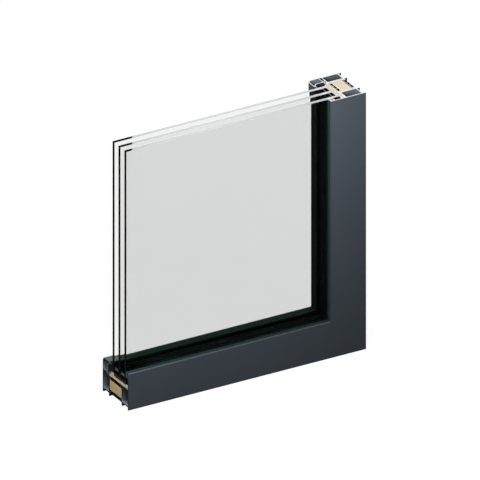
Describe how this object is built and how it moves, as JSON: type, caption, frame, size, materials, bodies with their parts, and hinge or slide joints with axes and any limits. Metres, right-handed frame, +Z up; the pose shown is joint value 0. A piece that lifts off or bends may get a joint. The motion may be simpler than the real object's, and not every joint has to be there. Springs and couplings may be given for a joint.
{
  "type": "fixed window corner sample",
  "caption": "Mitred corner cut from a fixed window: thermally broken aluminium sill and jamb with foam core, clip-in glazing beads, gaskets and insulating glass, open at both cut ends.",
  "frame": {"origin": "bottom centre of the sample's box, on the plane of the sill lips", "axes": "+X along the sill towards the mitred corner, +Y from outdoors to indoors, +Z up the jamb"},
  "size_m": [0.417, 0.0782, 0.4365],
  "materials": {
    "frame_paint": "satin powder coat",
    "bare_alloy": "mill",
    "polyamide": "matt",
    "core_foam": "fine cell foam",
    "rebate_foam": "fine cell foam",
    "gasket_rubber": "matt",
    "clear_glass": "polished",
    "sealant": "matt",
    "spacer_bar": "matt"
  },
  "bodies": {
    "root": {"sill_outer_profile": "frame_paint", "jamb_outer_profile": "frame_paint", "sill_inner_profile": "frame_paint", "jamb_inner_profile": "frame_paint", "sill_perimeter_strip": "polyamide", "jamb_perimeter_strip": "polyamide", "sill_rebate_strip": "polyamide", "jamb_rebate_strip": "polyamide", "sill_core_foam": "core_foam", "jamb_core_foam": "core_foam", "sill_rebate_foam": "rebate_foam", "jamb_rebate_foam": "rebate_foam", "sill_glazing_packer": "polyamide", "jamb_glazing_packer": "polyamide", "sill_outer_gasket": "gasket_rubber", "jamb_outer_gasket": "gasket_rubber", "sill_glazing_bead": "frame_paint", "jamb_glazing_bead": "frame_paint", "sill_wedge_gasket": "gasket_rubber", "jamb_wedge_gasket": "gasket_rubber", "outer_pane": "clear_glass", "middle_pane": "clear_glass", "inner_pane": "clear_glass", "sill_outer_edge_seal": "sealant", "sill_outer_spacer": "spacer_bar", "jamb_outer_edge_seal": "sealant", "jamb_outer_spacer": "spacer_bar", "sill_inner_edge_seal": "sealant", "sill_inner_spacer": "spacer_bar", "jamb_inner_edge_seal": "sealant", "jamb_inner_spacer": "spacer_bar", "outer_corner_cleat": "bare_alloy", "inner_corner_cleat": "bare_alloy"}
  },
  "joints": []
}
